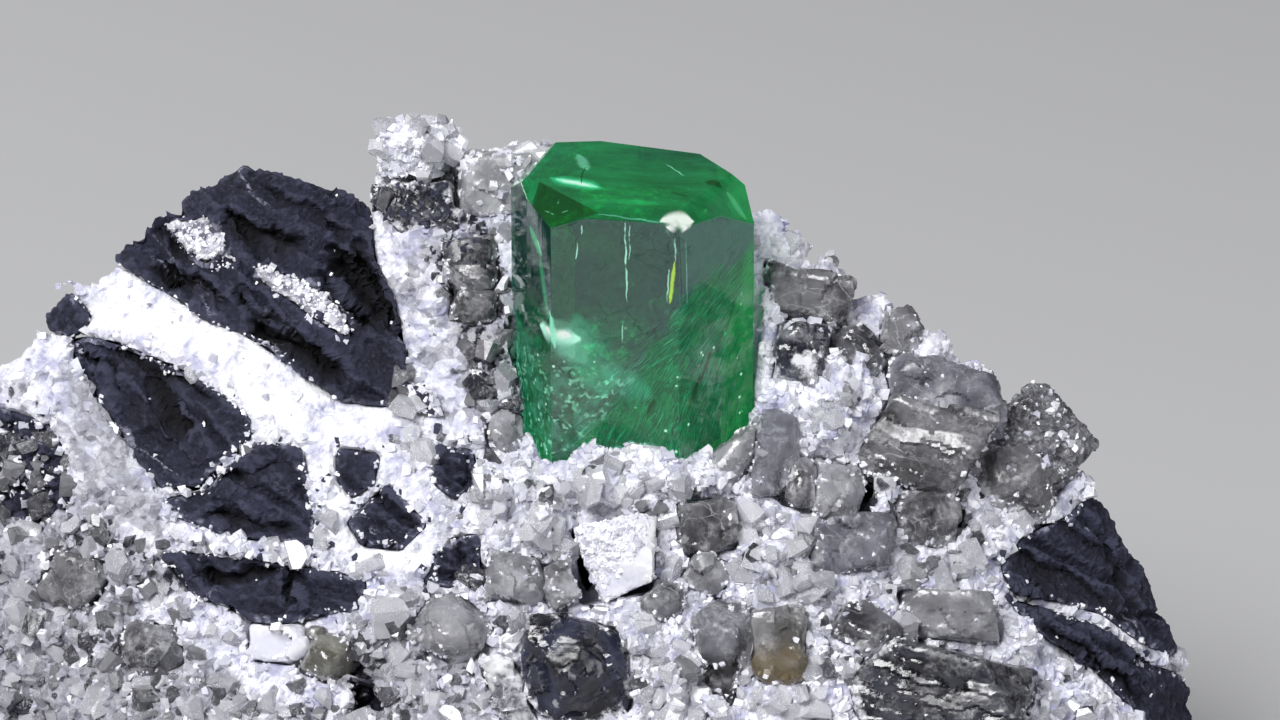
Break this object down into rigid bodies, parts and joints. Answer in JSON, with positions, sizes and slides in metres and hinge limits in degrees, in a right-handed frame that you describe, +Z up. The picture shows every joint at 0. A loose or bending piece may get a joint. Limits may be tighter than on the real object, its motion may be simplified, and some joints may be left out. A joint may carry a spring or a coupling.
{
  "type": "emerald in matrix",
  "caption": "Green six-sided emerald crystal standing in a rock of white calcite, black shale slabs and grey calcite crystals, cut flat below to rest on a surface.",
  "frame": {"origin": "middle of the specimen's box, on its flat foot", "axes": "+X along the specimen's length, to the right as the emerald is seen; +Y to its back; +Z up"},
  "size_m": [0.0844, 0.039, 0.0437],
  "materials": {
    "emerald": "clear green, glassy, with fine upright striations and a hazy foot",
    "white_calcite": "white, sugary and fibrous, faintly lavender in the hollows",
    "pale_calcite": "pale translucent crystal",
    "grey_calcite": "grey-brown translucent crystal, glossy faces",
    "lavender_calcite": "lavender-grey translucent crystal",
    "smoky_calcite": "smoky translucent crystal with pale streaks",
    "amber_calcite": "grey crystal with an amber foot",
    "dark_mineral": "nearly black, shiny broken faces",
    "mica": "silvery flake",
    "black_shale": "matt blue-black, fine-grained, broken in ledges"
  },
  "bodies": {
    "root": {"amber_crystal": "amber_calcite", "amber_crystal_foot": "amber_calcite", "beige_crystal": "grey_calcite", "brown_crystal_emerald_left": "grey_calcite", "brown_crystal_emerald_right": "grey_calcite", "calcite_cap": "white_calcite", "calcite_matrix": "white_calcite", "calcite_seam_middle": "white_calcite", "calcite_seam_upper": "white_calcite", "calcite_upper_block": "white_calcite", "dark_blue_crystal": "dark_mineral", "dark_crystal_right": "dark_mineral", "dark_neck": "dark_mineral", "dark_prism_foot": "dark_mineral", "emerald_crystal": "emerald", "grey_cone_crystal": "smoky_calcite", "grey_crystal_emerald_left": "smoky_calcite", "grey_crystal_hollow": "grey_calcite", "grey_crystal_left_base": "smoky_calcite", "grey_crystal_left_foot": "grey_calcite", "grey_crystal_ridge": "grey_calcite", "grey_crystal_rim": "grey_calcite", "grey_rhomb_right": "grey_calcite", "large_crystal_lower_slope": "grey_calcite", "large_crystal_slope": "lavender_calcite", "lavender_crystal_right": "lavender_calcite", "pale_crystal_beside_rhomb": "pale_calcite", "pale_crystal_centre": "pale_calcite", "pale_crystal_emerald_foot": "pale_calcite", "pale_crystal_emerald_right": "pale_calcite", "pale_crystal_lower_left": "pale_calcite", "round_crystal_right": "pale_calcite", "shale_bottom_lens": "black_shale", "shale_fringe_block": "black_shale", "shale_left_edge": "black_shale", "shale_left_knob": "black_shale", "shale_lower_slab": "black_shale", "shale_lower_wedge": "black_shale", "shale_right_slab": "black_shale", "shale_right_tongue": "black_shale", "shale_upper_slab": "black_shale", "shale_vein_block": "black_shale", "shale_vein_chip_lower": "black_shale", "shale_vein_chip_upper": "black_shale", "silver_blade": "mica", "smoky_crystal_corner": "smoky_calcite", "smoky_crystal_upper": "smoky_calcite", "speckled_crystal_right": "smoky_calcite", "streaked_crystal": "grey_calcite", "striated_crystal": "grey_calcite", "tall_crystal_emerald_right": "lavender_calcite", "two_tone_crystal": "smoky_calcite", "white_crystal_foot": "white_calcite", "white_rhomb": "white_calcite"}
  },
  "joints": []
}
